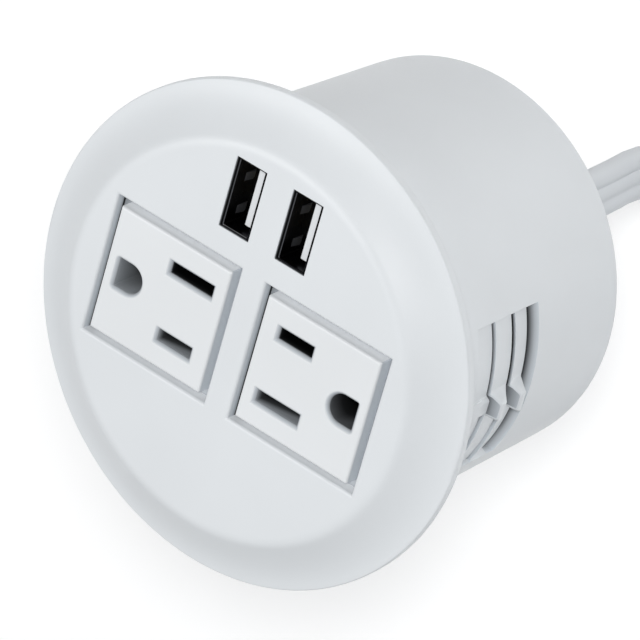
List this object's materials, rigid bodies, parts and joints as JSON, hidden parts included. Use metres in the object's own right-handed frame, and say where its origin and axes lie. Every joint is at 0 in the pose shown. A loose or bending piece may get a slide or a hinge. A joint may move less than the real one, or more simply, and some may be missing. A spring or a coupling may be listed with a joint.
{
  "type": "in-desk power module",
  "caption": "Round in-desk power module with grounded outlets, charging ports, snap barbs on its barrel and a flat cord that ends in a grounded plug.",
  "frame": {"origin": "on the barrel's axis at the desk top, where the rim's underside rests", "axes": "+Z out of the desk, +X along the row of outlets, +Y towards the charging ports"},
  "size_m": [0.2043, 0.1852, 0.1711],
  "materials": {
    "housing_plastic": "satin",
    "outlet_plastic": "satin",
    "port_tongue_plastic": "satin",
    "port_shell_steel": "satin",
    "port_contact_gold": "polished",
    "base_plastic": "matte",
    "screw_steel": "satin",
    "board_laminate": "satin",
    "chip_epoxy": "matte",
    "transformer_wrap": "satin",
    "capacitor_sleeve": "gloss",
    "cord_jacket": "satin",
    "tie_plastic": "matte",
    "plug_plastic": "satin",
    "blade_brass": "satin",
    "contact_brass": "satin",
    "hot_insulation": "satin",
    "neutral_insulation": "satin",
    "ground_insulation": "satin"
  },
  "bodies": {
    "root": {"base_screws": "screw_steel", "charger_board": "board_laminate", "coil_tie": "tie_plastic", "contact_base": "base_plastic", "cord": "cord_jacket", "cord_coil": "cord_jacket", "cord_tail": "cord_jacket", "cover_screws": "screw_steel", "ground_contact_left": "contact_brass", "ground_contact_right": "contact_brass", "ground_lead": "ground_insulation", "ground_strap": "contact_brass", "hot_contact_left": "contact_brass", "hot_contact_right": "contact_brass", "hot_lead": "hot_insulation", "hot_strap": "contact_brass", "housing": "housing_plastic", "input_capacitor": "capacitor_sleeve", "neutral_contact_left": "contact_brass", "neutral_contact_right": "contact_brass", "neutral_lead": "neutral_insulation", "neutral_strap": "contact_brass", "outlet_face_left": "outlet_plastic", "outlet_face_right": "outlet_plastic", "output_capacitor": "capacitor_sleeve", "plug_body": "plug_plastic", "plug_ground_pin": "blade_brass", "plug_hot_blade": "blade_brass", "plug_neutral_blade": "blade_brass", "port_board": "board_laminate", "port_contacts_left": "port_contact_gold", "port_contacts_right": "port_contact_gold", "port_controller": "chip_epoxy", "port_shell_left": "port_shell_steel", "port_shell_right": "port_shell_steel", "port_tongue_left": "port_tongue_plastic", "port_tongue_right": "port_tongue_plastic", "rear_cover": "housing_plastic", "strain_relief": "cord_jacket", "transformer": "transformer_wrap"}
  },
  "joints": []
}
